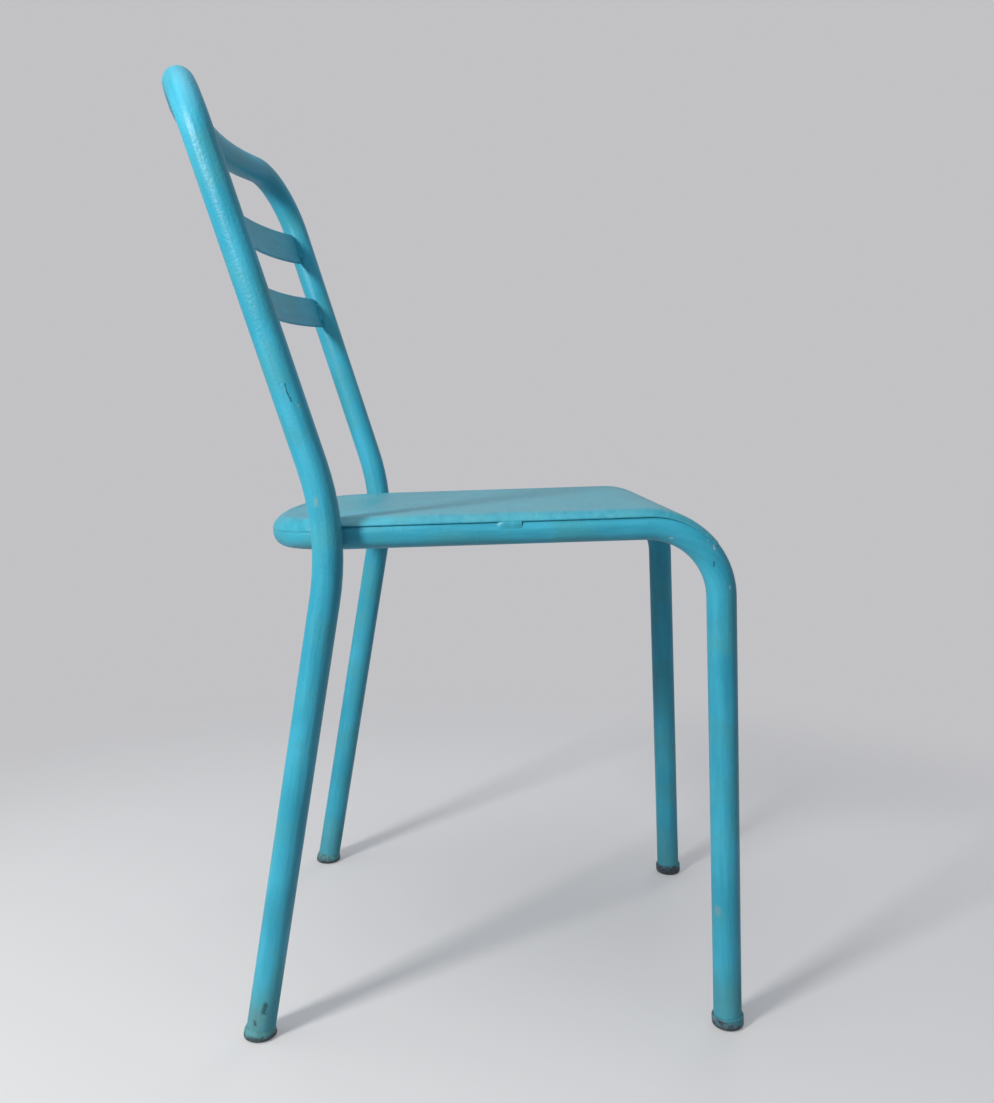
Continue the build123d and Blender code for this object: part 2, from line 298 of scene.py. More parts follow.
# %% [markdown]
# ### Seat tube
#
# The seat tube rises from a front glide, bends back along the side of the seat and goes round behind
# it in a bow. It is welded to the uprights where it passes them, on the bend of its rear corner. The side
# rails are therefore placed by the bend: its centre, the seat tube and the upright lie on one line.

# %% Corners of the seat tube
FRONT_CORNER_HEIGHT = 452.3 * MM
SEAT_OVERHANG = 38.0 * MM
REAR_CORNER_R = 58.0 * MM
REAR_RAIL_ANGLE = np.radians(8.5)
REAR_RAIL_STRAIGHT = 5.0 * MM
FIT_UP_GAP = 0.4 * MM
FRONT_LEG_RAKE = 3.7
SEAT_SLOPE = 2.4
UP_FRONT_LEG = lean(FRONT_LEG_RAKE)
ALONG_SEAT = lean(SEAT_SLOPE + 90)
UP_SEAT = lean(SEAT_SLOPE)

FRONT_FOOT = np.array([0.0, REAR_FOOT_Y - FOOT_SPACING, 0.0])
FRONT_CORNER = FRONT_FOOT + UP_FRONT_LEG * FRONT_CORNER_HEIGHT / UP_FRONT_LEG[2]

left_half = back_path[: len(back_path) // 2]
over_seat = (left_half - FRONT_CORNER) @ UP_SEAT
CROSSING = np.array([np.interp(0, over_seat, left_half[:, axis]) for axis in range(3)])
SEAT_LENGTH = (CROSSING - FRONT_CORNER) @ ALONG_SEAT + SEAT_OVERHANG
corner_run = REAR_CORNER_R * np.tan((np.pi / 2 - REAR_RAIL_ANGLE) / 2)
touch_reach = REAR_CORNER_R + 2 * TUBE_R + FIT_UP_GAP
TOUCH_ANGLE = np.arcsin((corner_run - SEAT_OVERHANG) / touch_reach)
RAIL_X = UPRIGHT_X + REAR_CORNER_R - touch_reach * np.cos(TOUCH_ANGLE)
SIDE_RAIL = ACROSS * RAIL_X
REAR_SETBACK = RAIL_X * np.tan(REAR_RAIL_ANGLE)
rear_bow_run = np.hypot(RAIL_X, REAR_SETBACK) - corner_run - REAR_RAIL_STRAIGHT
REAR_BOW_R = rear_bow_run / np.tan(REAR_RAIL_ANGLE)
print("seat length", round(SEAT_LENGTH, 4), "m, rails at", round(RAIL_X, 4), "m from the middle")

# %% Seat tube
FRONT_BEND_R = 63.0 * MM
OBLIQUE = unit(np.array([1.0, 1.0, 1.0]))
seat_half = [
    SIDE_RAIL + FRONT_FOOT + UP_FRONT_LEG * GLIDE_FLANGE,
    SIDE_RAIL + FRONT_CORNER,
    SIDE_RAIL + FRONT_CORNER + ALONG_SEAT * SEAT_LENGTH,
]
seat_middle = FRONT_CORNER + ALONG_SEAT * (SEAT_LENGTH + REAR_SETBACK)
seat_radii = [FRONT_BEND_R, REAR_CORNER_R, REAR_BOW_R]
tube_piece("seat_tube", "seat_frame", seat_half, seat_middle, seat_radii, OBLIQUE)

# %% [markdown]
# ## Pressed seat
#
# The seat is one sheet, pressed over the tube. It lies flat between the rails, falls over the front bend
# like water over a weir, and its rim is turned down round the outside of the tube as far as the seam.
# A bevelled box would never hug the tube, so the sheet is worked out flat and then rolled over the bend.
# The lip is the same sheet, turned about the tube's axis. The half thickness runs out in a half round at
# every free edge, which closes the shell and gives the edge that the seam's shadow falls from. Over the
# front bend, and along the lip's edge at the rear, the sheet was hammered thin and the step is filled with
# paint, so there the seam fades out.

# %% Rolling a flat sheet over the front bend
PAN_FRONT_ANGLE = np.radians(52.0)
FRONT_BEND_RUN = FRONT_BEND_R * np.tan(np.radians(90 + SEAT_SLOPE - FRONT_LEG_RAKE) / 2)
PAN_FRONT = FRONT_BEND_RUN - FRONT_BEND_R * PAN_FRONT_ANGLE


def roll(along):
    """Place, upward normal and backward tangent of the seat's side view, at a distance along it.

    Behind the start of the front bend it is a straight line. Before that it is the bend's circle:
    centre + r * (cos(t) * up - sin(t) * along), with t the distance past the start divided by r.
    """
    t = np.clip((FRONT_BEND_RUN - along) / FRONT_BEND_R, 0, None)[..., None]
    flat = np.maximum(along, FRONT_BEND_RUN)[..., None]
    normal = np.cos(t) * UP_SEAT - np.sin(t) * ALONG_SEAT
    tangent = np.cos(t) * ALONG_SEAT + np.sin(t) * UP_SEAT
    place = FRONT_CORNER + flat * ALONG_SEAT - FRONT_BEND_R * UP_SEAT + FRONT_BEND_R * normal
    return place, normal, tangent


def over_bend(along):
    """How far over the front bend a place is: 0 on the flat and 1 at the pan's front edge."""
    return np.clip((FRONT_BEND_RUN - along) / (FRONT_BEND_R * PAN_FRONT_ANGLE), 0, 1)


# %% Thickness of the sheet
SHEET_T = 1.5 * MM
SHEET_GAP = 0.15 * MM
THINNING = 0.7
EDGE_ROUND = (1 - np.cos(np.linspace(0, np.pi / 2, 6))) * SHEET_T / 2


def half_round(distance, half):
    """Half thickness of a sheet near a free edge, where it closes as a circle of that radius."""
    depth = np.clip(1 - distance / half, 0, 1)
    return half * np.sqrt(1 - depth**2)


def soft_step(value):
    """0 below 0, 1 above 1, and 3 v^2 - 2 v^3 between."""
    value = np.clip(value, 0, 1)
    return value * value * (3 - 2 * value)


def sheet(thinned):
    """Half thickness of the sheet and radius of its middle about the tube's axis, thinned by 0 to 1."""
    half = SHEET_T / 2 * (1 - THINNING * thinned)
    return half, TUBE_R + SHEET_GAP * (1 - thinned) + half


print("sheet at its thinnest", round(2 * sheet(1.0)[0] / MM, 2), "mm")

# %% The pan's outline and its flat part
PAN_STEP = 5 * MM
FLAT_ROWS = 26
PAN_SAG = 0.7 * MM
BEND_THINS = 1.3


def pan_outline():
    """The tube's U in the flat and its headings, from the front right round the rear to the front left."""
    side = [np.array([-RAIL_X, PAN_FRONT, 0]), np.array([-RAIL_X, SEAT_LENGTH, 0])]
    corners = mirrored(side, [np.array([0, SEAT_LENGTH + REAR_SETBACK, 0])])
    radii = [REAR_CORNER_R, REAR_BOW_R, REAR_CORNER_R]
    outline, heading = bent_path(corners, radii, PAN_STEP, ARC_STEP)
    first = outline[0] + heading[0] * EDGE_ROUND[:, None]
    last = outline[-1] - heading[-1] * EDGE_ROUND[::-1, None]
    repeats = np.ones(len(heading), dtype=int)
    repeats[[0, -1]] = len(EDGE_ROUND)
    return np.concatenate([first, outline[1:-1], last]), np.repeat(heading, repeats, 0)


def flat_part(outline):
    """Rows in the flat, from the middle line out to the tube, as (place, normal, radius, half thickness).

    They are rolled over the bend, and sag between the rails by a squared sine.
    """
    middle = np.stack([0 * outline[:, 0], np.minimum(outline[:, 1], SEAT_LENGTH - RAIL_X)], -1)
    outwards = np.linspace(0, 1, FLAT_ROWS)[:, None, None]
    plan = middle + (outline[:, :2] - middle) * outwards
    place, normal, _ = roll(plan[..., 1])
    to_front = plan[..., 1] - PAN_FRONT
    from_rim = np.clip(1 - np.abs(plan[..., 0]) / RAIL_X, 0, 1)
    sag = PAN_SAG * np.sin(np.pi / 2 * from_rim) ** 2 * np.clip(to_front / SEAT_LENGTH, 0, 1)
    half, radius = sheet(soft_step(over_bend(plan[..., 1]) * BEND_THINS))
    place = place + plan[..., :1] * ACROSS - sag[..., None] * normal
    return place, normal, radius, half_round(to_front, half)


# %% The pan's lip
LIP_ROWS = 14
LIP_SPRING = 0.3 * MM
LIP_ANGLE = np.radians(60.0)
LIP_FRONT_ANGLE = np.radians(46.0)
LIP_REAR_ANGLE = np.radians(77.0)
LIP_TURNS_REAR = 2.0
LIP_OUTER_R = TUBE_R + SHEET_GAP + SHEET_T


def lip_part(outline, heading):
    """Rows turned about the tube's axis, as (axis, radial direction, radius, half thickness).

    The radial direction is cos(a) * normal + sin(a) * outward, with a from 0 to the lip's angle. The
    height of the lip's edge changes evenly to its front angle, and by a soft step to its rear angle.
    """
    outward = np.stack([-heading[:, 1], heading[:, 0]], -1)
    place, normal, tangent = roll(outline[:, 1])
    forward = over_bend(outline[:, 1])
    rearward = soft_step(np.abs(outward[:, 1]) * LIP_TURNS_REAR)
    edge_height = np.cos(LIP_ANGLE) + (np.cos(LIP_FRONT_ANGLE) - np.cos(LIP_ANGLE)) * forward
    edge_height = edge_height + (np.cos(LIP_REAR_ANGLE) - np.cos(LIP_ANGLE)) * rearward
    lip_end = np.arccos(edge_height)
    edge = 1 - EDGE_ROUND[::-1] / (LIP_OUTER_R * LIP_ANGLE)
    share = np.concatenate([np.linspace(0, 1, LIP_ROWS)[1:-2], edge])[:, None]
    turned = share * lip_end
    thick = (1 - soft_step(forward * BEND_THINS)) * (1 - rearward * share**2)
    half, radius = sheet(1 - thick)
    to_edge = np.minimum((lip_end - turned) * radius, outline[:, 1] - PAN_FRONT)
    half = half_round(to_edge, half)
    spring = LIP_SPRING * share**4 * thick
    out = outward[:, :1] * ACROSS + outward[:, 1:] * tangent
    radial = np.cos(turned)[..., None] * normal + np.sin(turned)[..., None] * out
    return place + outline[:, :1] * ACROSS, radial, radius + spring, half


# %% Seat pan
def pan_grid():
    """Upper and lower skin of the pan: place + (radius + or - half thickness) * normal."""
    outline, heading = pan_outline()
    parts = [flat_part(outline), lip_part(outline, heading)]
    skins = []
    for side in (1, -1):
        rows = [
            place + (radius + side * half)[..., None] * normal
            for place, normal, radius, half in parts
        ]
        skins.append(np.concatenate(rows)[::side])
    return np.concatenate(skins)


seat_pan = make_piece("pressed_seat", [(pan_grid(), False, False)], "seat_pan")

# %% [markdown]
# ## Back slats
#
# Two flat bars are bowed like the top rail and welded between the uprights. Their corners were rounded
# off so that nothing catches on them. A cube with a bend modifier would do for the bow. A grid over
# the bar's two faces also gives the round corners and soft edges, and ends the bar inside the weld.
# The brush ran along the bars, so their unbent place has its last number along the bar.

# %% Shape of a slat
SLAT_WIDTH = 32.0 * MM
SLAT_T = 3.0 * MM
SLAT_BOW = 26.0 * MM
SLAT_CORNER_R = 6.0 * MM
SLAT_INTO_WELD = 1.2 * MM
SLAT_BEND_R = (UPRIGHT_X**2 + SLAT_BOW**2) / (2 * SLAT_BOW)
SLAT_STATIONS = 121
SLAT_ROWS = 33
CROWDING = 0.35


def slat_point(place, x, up, offset):
    """Point of a bowed bar: its bow is a circle about a centre in front of the back, at each height."""
    turn = np.arcsin(x / SLAT_BEND_R)[..., None]
    radius = (SLAT_BEND_R + offset)[..., None]
    middle = KNEE - ACROSS * UPRIGHT_X + UP_BACK * place + BEHIND_BACK * (SLAT_BOW - SLAT_BEND_R)
    return middle + radius * (np.sin(turn) * ACROSS + np.cos(turn) * BEHIND_BACK) + up[..., None] * UP_BACK


def slat_grid(place):
    """Front and rear face of a bar. Its half width shrinks by the corner's circle towards each end."""
    end = UPRIGHT_X - TUBE_R + SLAT_INTO_WELD
    sweep = np.linspace(-1, 1, SLAT_STATIONS)
    x = end * (np.sin(sweep * np.pi / 2) * CROWDING + sweep * (1 - CROWDING))
    into_corner = np.clip(SLAT_CORNER_R - (end - np.abs(x)), 0, SLAT_CORNER_R)
    half_width = SLAT_WIDTH / 2 - SLAT_CORNER_R + np.sqrt(SLAT_CORNER_R**2 - into_corner**2)
    up = np.sin(np.linspace(-np.pi / 2, np.pi / 2, SLAT_ROWS))[:, None] * half_width
    x = np.broadcast_to(x, up.shape)
    half = half_round(half_width - np.abs(up), SLAT_T / 2)
    half = np.minimum(half, half_round(end - np.abs(x), SLAT_T / 2))
    front = slat_point(place, x, up, -half)
    rear = slat_point(place, x, up, half)
    return np.concatenate([front, rear[::-1]])


# %% Slats
SLAT_BELOW_BEND = 1.0 * MM
SLAT_PITCH = 70.0 * MM
UPPER_SLAT_AT = BACK_LENGTH - TOP_CORNER_R - SLAT_BELOW_BEND - SLAT_WIDTH / 2
SLAT_PLACES = {"upper_slat": UPPER_SLAT_AT, "lower_slat": UPPER_SLAT_AT - SLAT_PITCH}
for name, place in SLAT_PLACES.items():
    grid = slat_grid(place)
    lengthwise = grid[..., [1, 2, 0]]
    make_piece("bowed_" + name, [(grid, True, False)], name, lengthwise)

# %% [markdown]
# ## Glides
#
# A glide is a moulded plug. Its shank sits in the bore and its rounded cap stands a little proud of the
# tube, worn flat by the floor. A lathe profile gives the cap, but the legs are raked, so the lower rings
# are cut level: they are the oblique sections of the cap with planes that lie parallel to the floor. The
# front caps keep a clear rim. On the rear ones, old paint has filled the step into a long shoulder.

# %% Shape of a glide
FRONT_RIM_R = 1.4 * MM
REAR_SHOULDER = 7.0 * MM
PAINT_FILM = 0.06 * MM
rounding = np.linspace(0, np.pi / 2, 8)
front_in = GLIDE_R - FRONT_RIM_R * (1 - np.cos(rounding))
FRONT_RIM = np.stack([front_in, GLIDE_FLANGE - FRONT_RIM_R * (1 - np.sin(rounding))])
climb = np.append(np.linspace(0, 0.99, 12), 1)
rear_in = GLIDE_R + (TUBE_R + PAINT_FILM - GLIDE_R) * soft_step(climb)
REAR_RIM = np.stack([rear_in, GLIDE_FLANGE - REAR_SHOULDER * (1 - climb)])
GLIDE_SHANK = 18.0 * MM
SHANK_ROOM = 0.15 * MM
GLIDE_SHANK_R = BORE_R - SHANK_ROOM
GLIDE_TIP_TAPER = 1.5 * MM
GLIDE_FLOOR_R = 3.5 * MM
GLIDE_ROUND = 40
SOLE_RINGS = 4
EDGE_RINGS = 7
WALL_RINGS = 4


def glide_grid(foot, up, cap_rim):
    """Rings of a glide from the middle of its sole to the tip of its shank.

    A level ring of radius r at height z is foot + r * (cos, sin) + up * h, with h chosen at each angle so
    that the point lies at z. A turned ring has the same h all round.
    """
    ring = circle(1.0, GLIDE_ROUND)
    spokes = ring[:, :1] * ACROSS + ring[:, 1:] * np.cross(up, ACROSS)

    def level(radius, z):
        flat = radius[:, None, None] * spokes
        return foot + flat + up * ((z[:, None] - flat[..., 2]) / up[2])[..., None]

    def turned(radius, height):
        return foot + radius[:, None, None] * spokes + up * height[:, None, None]

    inner = np.arange(SOLE_RINGS) / SOLE_RINGS
    sole = level((GLIDE_R - GLIDE_FLOOR_R) * inner, np.zeros(SOLE_RINGS))
    bend = np.linspace(0, np.pi / 2, EDGE_RINGS)
    edge = level(GLIDE_R - GLIDE_FLOOR_R * (1 - np.sin(bend)), GLIDE_FLOOR_R * (1 - np.cos(bend)))
    rim = turned(*cap_rim)
    part = np.linspace(0, 1, WALL_RINGS + 2)[1:-1, None, None]
    wall = edge[-1] + (rim[0] - edge[-1]) * part
    tip = GLIDE_FLANGE + GLIDE_SHANK
    shank_r = np.array([GLIDE_SHANK_R, GLIDE_SHANK_R, GLIDE_SHANK_R - GLIDE_TIP_TAPER, 0])
    shank = turned(shank_r, np.array([GLIDE_FLANGE, tip - GLIDE_TIP_TAPER, tip, tip]))
    return np.concatenate([sole, edge, wall, rim, shank])


# %% Glides
LEG_ENDS = {
    "front_": (SIDE_RAIL + FRONT_FOOT, UP_FRONT_LEG, FRONT_RIM),
    "rear_": (REAR_FOOT, UP_REAR_LEG, REAR_RIM),
}
for hand, mirror in (("right", MIRROR), ("left", 1.0)):
    for end, (foot, up, cap_rim) in LEG_ENDS.items():
        grid = glide_grid(foot * mirror, up, cap_rim)
        make_piece("glide_" + end + hand, [(grid, False, True)], "foot_" + end + hand)

# %% [markdown]
# ## Weld beads
#
# Short beads hold the uprights to the seat tube, the slats to the uprights and the lip to the rails.
# Each bead is a run of small overlapping pools, so it is a bar whose section swells and shrinks along
# its length. A row of spheres would show pools too, but with sharp valleys between them.

# %% Shape of a bead
BEAD_STATIONS = 41
BEAD_ROUND = 20


def bead(centre, along, outward, length, radius, pools, ripple):
    """Round bar, as a grid for make_piece: a cosine swells the pools, a circle's rise closes each end."""
    s = np.sin(np.linspace(-np.pi / 2, np.pi / 2, BEAD_STATIONS)) * length / 2
    into_end = np.clip((np.abs(s) - (length / 2 - radius)) / radius, 0, 1)
    swell = np.sqrt(1 - into_end**2) * (1 + ripple * np.cos(2 * np.pi * pools * s / length))
    path = centre + s[:, None] * along
    direction = np.broadcast_to(along, path.shape)
    ring = circle(radius, BEAD_ROUND)[None] * swell[:, None, None]
    return carry(path, direction, outward, ring), False, True


# %% Beads between the uprights and the seat tube
FRAME_BEAD_R = 3.4 * MM
FRAME_BEAD_LENGTH = 15.0 * MM
FRAME_BEAD_RISE = 8.0 * MM
notch = (np.sqrt(TUBE_R**2 - FRAME_BEAD_RISE**2) + TUBE_R + FIT_UP_GAP) / 2
rise_over_lip = np.sqrt(LIP_OUTER_R**2 - TUBE_R**2 + FRAME_BEAD_RISE**2)
to_upright = ACROSS * np.cos(TOUCH_ANGLE) + ALONG_SEAT * np.sin(TOUCH_ANGLE)
along_bead = ALONG_SEAT * np.cos(TOUCH_ANGLE) - ACROSS * np.sin(TOUCH_ANGLE)
touching = CROSSING + to_upright * (notch - 2 * TUBE_R - FIT_UP_GAP)
beads = []
for rise in (rise_over_lip, -FRAME_BEAD_RISE):
    for mirror in (1.0, MIRROR):
        centre = (touching + UP_SEAT * rise) * mirror
        along = along_bead * mirror
        beads.append(bead(centre, along, UP_SEAT, FRAME_BEAD_LENGTH, FRAME_BEAD_R, pools=5, ripple=0.07))
make_piece("frame_weld_beads", beads, "frame_welds")

# %% Beads at the ends of the slats
SLAT_BEAD_R = 0.6 * SLAT_T
SLAT_BEAD_LENGTH = SLAT_WIDTH - 2 * SLAT_CORNER_R
slat_bead = {"length": SLAT_BEAD_LENGTH, "radius": SLAT_BEAD_R, "pools": 6, "ripple": 0.02}
beads = []
for place in SLAT_PLACES.values():
    for side in (-1, 1):
        for face in (-1, 1):
            x = np.array(side * (UPRIGHT_X - TUBE_R))
            centre = slat_point(place, x, np.array(0.0), np.array(face * SLAT_T / 2))
            beads.append(bead(centre, UP_BACK, BEHIND_BACK, **slat_bead))
make_piece("slat_weld_beads", beads, "slat_welds")

# %% [markdown]
# ### The dressed bead on the lip
#
# On the lip the bead was filed down to a patch that fills the seam. A bar would stand out like a finger,
# so this is a film of metal about the tube's own axis, thickest at the seam and run out at its rear end.

# %% Dressed beads on the lip
PAN_BEAD_LENGTH = 22.0 * MM
PAN_BEAD_FROM_FRONT = 174.0 * MM
PAN_BEAD_PROUD = 1.55 * MM
PAN_BEAD_UNDER = 0.08 * MM
PAN_BEAD_ABOVE = np.radians(9.0)
PAN_BEAD_BELOW = np.radians(27.0)
PAN_BEAD_FRONT = 0.05
PAN_BEAD_REAR = 0.6
PAN_BEAD_ROWS = 31


def patch_grid(side):
    """Outer and inner skin of a dressed bead: axis + along + radius * (cos(a) * up + sin(a) * outward).

    The radius is highest at the seam. It falls softly to the tube's below it, and at both ends.
    """
    s = np.sin(np.linspace(-np.pi / 2, np.pi / 2, BEAD_STATIONS))
    s = np.concatenate([[-1], s, [1]])[:, None]
    a = LIP_ANGLE + np.linspace(-PAN_BEAD_ABOVE, PAN_BEAD_BELOW, PAN_BEAD_ROWS)
    fall = 1 - soft_step((a - LIP_ANGLE) / PAN_BEAD_BELOW)
    fill = fall * soft_step((1 + s) / PAN_BEAD_FRONT) * soft_step((1 - s) / PAN_BEAD_REAR)
    depth = PAN_BEAD_UNDER + (PAN_BEAD_UNDER + PAN_BEAD_PROUD) * fill
    depth[[0, -1]] = 0
    axis = FRONT_CORNER + ALONG_SEAT * (PAN_BEAD_FROM_FRONT + s * PAN_BEAD_LENGTH / 2)[..., None]
    axis = axis + SIDE_RAIL * side
    radial = np.cos(a)[:, None] * UP_SEAT + np.sin(a)[:, None] * ACROSS * side
    root = TUBE_R - 2 * PAN_BEAD_UNDER
    outer = axis + (root + depth)[..., None] * radial
    inner = axis + root * radial
    return np.concatenate([outer, inner[:, ::-1]], 1)[::side]


beads = [(patch_grid(side), False, True) for side in (1, -1)]
make_piece("pan_weld_beads", beads, "pan_welds")

# %% [markdown]
# ## Finishes
#
# The whole chair wears one coat of turquoise enamel, brushed on by hand. A painted picture of it would
# stretch over the bends and blur up close, so the coat is worked out by nodes. Each effect is a node
# group with named sockets, so that tubes, sheet and bars share it and set their own amounts.


# %% Helpers for shader nodes
def feed(tree, inputs, values):
    """Sets inputs of a node to constants, or links them to outputs of other nodes."""
    for key, value in values.items():
        if isinstance(value, bpy.types.NodeSocket):
            tree.links.new(value, inputs[key])
        else:
            inputs[key].default_value = value


def add(tree, kind, inputs=None, **settings):
    """Adds a shader node: settings go on the node, inputs are constants or outputs to link."""
    made = tree.nodes.new("ShaderNode" + kind)
    for key, value in settings.items():
        setattr(made, key, value)
    feed(tree, made.inputs, inputs or {})
    return made


def maths(tree, operation, *values):
    """One sum on numbers or outputs."""
    return add(tree, "Math", dict(enumerate(values)), operation=operation).outputs[0]


def vectors(tree, operation, *values):
    """One sum on vectors: its outputs are Vector and Value."""
    return add(tree, "VectorMath", dict(enumerate(values)), operation=operation).outputs


def portions(tree, share, first, second):
    """A share of the first value and the rest of the second."""
    return maths(tree, "MULTIPLY_ADD", first, share, maths(tree, "MULTIPLY", second, 1 - share))


def ramp(tree, value, low, high, start=0.0, end=1.0):
    """A value mapped smoothly from one range to another."""
    inputs = {"Value": value, "From Min": low, "From Max": high, "To Min": start, "To Max": end}
    return add(tree, "MapRange", inputs, interpolation_type="SMOOTHSTEP").outputs["Result"]


def noise(tree, vector, scale, detail=2.0, rough=0.5):
    """Soft random value from 0 to 1."""
    inputs = {"Vector": vector, "Scale": scale, "Detail": detail, "Roughness": rough}
    return add(tree, "TexNoise", inputs).outputs["Fac"]


def blend(tree, factor, first, second):
    """One colour laid over another by a mask. A Mix node's colours are inputs 6 and 7 and output 2."""
    inputs = {0: factor, 6: first, 7: second}
    return add(tree, "Mix", inputs, data_type="RGBA", clamp_factor=True).outputs[2]


# %% Helpers for groups and materials
def new_group(name, inputs, outputs):
    """Empty shader node group that gives numbers, its inputs and its outputs.

    An input with a number as its default is a number, and any other is a vector.
    """
    tree = bpy.data.node_groups.new(name, "ShaderNodeTree")
    for socket, default in inputs.items():
        kind = "NodeSocketFloat" if isinstance(default, float) else "NodeSocketVector"
        made = tree.interface.new_socket(socket, in_out="INPUT", socket_type=kind)
        if default is not None:
            made.default_value = default
    for socket in outputs:
        tree.interface.new_socket(socket, in_out="OUTPUT", socket_type="NodeSocketFloat")
    print(name, "takes", ", ".join(inputs), "and gives", ", ".join(outputs))
    return tree, tree.nodes.new("NodeGroupInput").outputs, tree.nodes.new("NodeGroupOutput").inputs


def place_group(tree, group, inputs):
    """Outputs of a group that is placed in a material with its own values."""
    return add(tree, "Group", inputs, node_tree=group).outputs


def new_material(name):
    """Material with nodes: gives the material, its tree and its Principled shader."""
    material = bpy.data.materials.new(name)
    material.use_nodes = True
    return material, material.node_tree, material.node_tree.nodes["Principled BSDF"]


def emboss(tree, height, strength, depth):
    """Normal from a height from 0 to 1, which stands for a depth in metres."""
    inputs = {"Height": height, "Strength": strength, "Distance": depth}
    return add(tree, "Bump", inputs).outputs["Normal"]


# %% [markdown]
# ### Brushed coat
#
# Enamel from a brush dries in long shallow ridges along the tube, with a fine orange peel on top, and
# it is a shade lighter where it lies thin. The ridges read the unbent place, so they follow the bends.

# %% Brushed coat group
RIDGES_IN_TONE = 0.4
PEEL_IN_HEIGHT = 0.25
inputs = {"Vector": None, "Stretch": (1.0, 1.0, 0.1)}
brushed, source, sink = new_group("brushed_coat", inputs, ["Tone", "Height"])
stretched = vectors(brushed, "MULTIPLY", source["Vector"], source["Stretch"])["Vector"]
ridges = noise(brushed, stretched, scale=160.0, detail=3.0)
blotches = noise(brushed, source["Vector"], scale=14.0, detail=3.0)
peel = noise(brushed, source["Vector"], scale=420.0, detail=1.0)
tone = portions(brushed, RIDGES_IN_TONE, ridges, blotches)
feed(brushed, sink, {"Tone": tone, "Height": portions(brushed, PEEL_IN_HEIGHT, peel, ridges)})

# %% [markdown]
# ### Chips
#
# Knocks took flakes off the paint, mostly in small clusters, and bared a pale older coat or dark steel.
# A noise that is cut off near its top gives such islands, and a second, broad noise gathers them.

# %% Chips group
CLUSTER_LIFT = 0.06
FLAKE_EDGE = 0.02
RIM_WIDTH = 0.03
inputs = {"Vector": None, "Scale": 170.0, "Level": 0.8}
chips, source, sink = new_group("paint_chips", inputs, ["Flake", "Rim"])
gathered = noise(chips, source["Vector"], scale=11.0)
clusters = ramp(chips, gathered, 0.5, 0.66, 0.0, CLUSTER_LIFT)
grains = maths(chips, "ADD", noise(chips, source["Vector"], source["Scale"], 4.0, 0.6), clusters)
inner_edge = maths(chips, "ADD", source["Level"], FLAKE_EDGE)
outer_edge = maths(chips, "SUBTRACT", source["Level"], RIM_WIDTH)
flake = ramp(chips, grains, source["Level"], inner_edge)
feed(chips, sink, {"Flake": flake, "Rim": ramp(chips, grains, outer_edge, source["Level"])})

# %% [markdown]
# ### Single marks
#
# Some marks are landmarks of this one chair, so they have places: pale chips on the bends, a dark nick
# down the near upright, bruises and a stale patch over the near rear foot. Each is a line in space with
# a ragged skin: how far a point lies from the line, held against a noise.

# %% Single mark group
RAGGED_GAIN = 3.2
RAGGED_SHIFT = -0.6
inputs = {"Vector": None, "From": None, "To": None, "Size": 0.002, "Softness": 0.2}
mark, source, sink = new_group("single_mark", inputs, ["Mask"])
line = vectors(mark, "SUBTRACT", source["To"], source["From"])["Vector"]
to_point = vectors(mark, "SUBTRACT", source["Vector"], source["From"])["Vector"]
shadow = vectors(mark, "DOT_PRODUCT", to_point, line)["Value"]
square = vectors(mark, "DOT_PRODUCT", line, line)["Value"]
part = add(mark, "Clamp", {"Value": maths(mark, "DIVIDE", shadow, square)}).outputs[0]
nearest = add(mark, "VectorMath", {0: line, "Scale": part}, operation="SCALE").outputs["Vector"]
apart = vectors(mark, "DISTANCE", to_point, nearest)["Value"]
rough_skin = noise(mark, source["Vector"], scale=480.0, detail=4.0, rough=0.65)
ragged = maths(mark, "MULTIPLY_ADD", rough_skin, RAGGED_GAIN, RAGGED_SHIFT)
inside = maths(mark, "SUBTRACT", ragged, maths(mark, "DIVIDE", apart, source["Size"]))
outer_edge = maths(mark, "MULTIPLY", source["Softness"], -1.0)
feed(mark, sink, {"Mask": ramp(mark, inside, outer_edge, source["Softness"])})

# %% Places of the marks
PALE = (0.36, 0.54, 0.56, 1.0)
DULL = (0.15, 0.40, 0.43, 1.0)
PINKISH = (0.17, 0.34, 0.40, 1.0)
DARK = (0.015, 0.11, 0.15, 1.0)
BRUISE = (0.03, 0.10, 0.11, 1.0)
STALE = (0.11, 0.29, 0.30, 1.0)
# Each mark has its colour, its size in mm, its softness, and its two ends in mm.
MARKS = [
    (STALE, 7.0, 1.4, (-206.0, 178.5, 14.0), (-206.0, 176.5, 24.0)),
    (DULL, 1.6, 0.9, (-206.3, 114.7, 470.0), (-206.3, 115.3, 466.0)),
    (DULL, 1.2, 0.5, (-204.2, 126.8, 541.8), (-204.2, 126.8, 541.8)),
    (PALE, 0.7, 0.5, (-179.7, -168.6, 439.9), (-179.7, -170.9, 439.9)),
    (PALE, 0.6, 0.5, (-179.6, -199.9, 438.6), (-179.6, -199.9, 438.6)),
    (PALE, 0.9, 0.5, (-179.8, -205.0, 434.5), (-179.8, -205.2, 431.5)),
    (PALE, 0.6, 0.5, (-180.7, -219.6, 401.0), (-180.7, -219.6, 399.0)),
    (PINKISH, 2.6, 1.2, (-177.9, -224.1, 115.0), (-177.9, -224.1, 112.0)),
    (DARK, 0.5, 0.8, (-181.9, -205.3, 421.0), (-181.9, -205.3, 417.5)),
    (DARK, 0.4, 0.6, (-206.2, 136.8, 558.5), (-206.2, 135.2, 552.0)),
    (DARK, 0.5, 0.6, (-206.2, 135.2, 552.0), (-206.1, 132.0, 545.0)),
    (BRUISE, 1.8, 1.0, (-206.4, 167.6, 36.5), (-206.4, 169.5, 29.0)),
    (BRUISE, 1.4, 0.8, (-205.7, 177.4, 20.0), (-205.7, 177.4, 17.5)),
]
